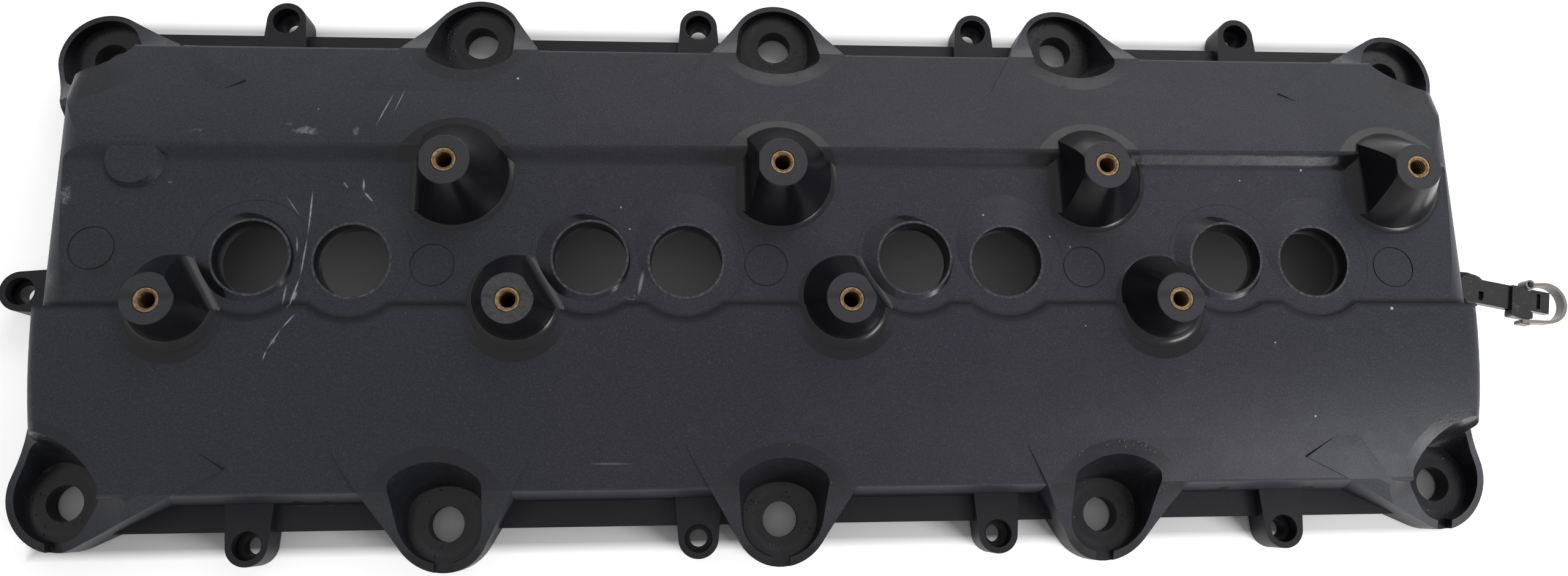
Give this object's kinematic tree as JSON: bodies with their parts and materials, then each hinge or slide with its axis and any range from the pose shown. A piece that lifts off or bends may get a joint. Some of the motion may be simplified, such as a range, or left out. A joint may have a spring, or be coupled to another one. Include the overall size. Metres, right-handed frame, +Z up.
{
  "type": "engine valve cover",
  "caption": "Long moulded cylinder-head cover with deep bolt towers, collared spark-plug holes, conical coil bosses with brass inserts, flange ears and a hinged wiring clip.",
  "frame": {"origin": "centre of the ten-bolt pattern on the flange's underside, the sealing plane", "axes": "+X along the cover towards the end with the wiring clip, +Y towards the long edge beside the stepped shoulder, +Z up out of the head"},
  "size_m": [0.5853, 0.2146, 0.06],
  "materials": {
    "nylon": "fine-grained moulded, oily and rubbed with use",
    "gasket_rubber": "dull",
    "seal_rubber": "dull, oily",
    "insert_brass": "aged, dulled",
    "clip_nylon": "satin moulded",
    "strap_nylon": "translucent-edged, satin moulded"
  },
  "bodies": {
    "cover": {"cover": "nylon", "perimeter_gasket": "gasket_rubber", "tube_seal_1": "seal_rubber", "tube_seal_2": "seal_rubber", "tube_seal_3": "seal_rubber", "tube_seal_4": "seal_rubber", "tube_seal_5": "seal_rubber", "tube_seal_6": "seal_rubber", "tube_seal_7": "seal_rubber", "tube_seal_8": "seal_rubber", "coil_insert_1": "insert_brass", "coil_insert_2": "insert_brass", "coil_insert_3": "insert_brass", "coil_insert_4": "insert_brass", "coil_insert_5": "insert_brass", "coil_insert_6": "insert_brass", "coil_insert_7": "insert_brass", "coil_insert_8": "insert_brass"},
    "harness_clip": {"harness_clip": "clip_nylon"},
    "clip_strap": {"clip_strap": "strap_nylon"}
  },
  "joints": [
    {"name": "clip_swivel", "type": "hinge", "parent": "cover", "child": "harness_clip", "pos_m": [0.2705, -0.0073, 0.012], "axis": [0, 0, 1], "range_deg": [-50, 60]},
    {"name": "strap_hinge", "type": "hinge", "parent": "harness_clip", "child": "clip_strap", "pos_m": [0.29365, -0.0061, 0.015], "axis": [0, 0, 1], "range_deg": [0, 95]}
  ]
}
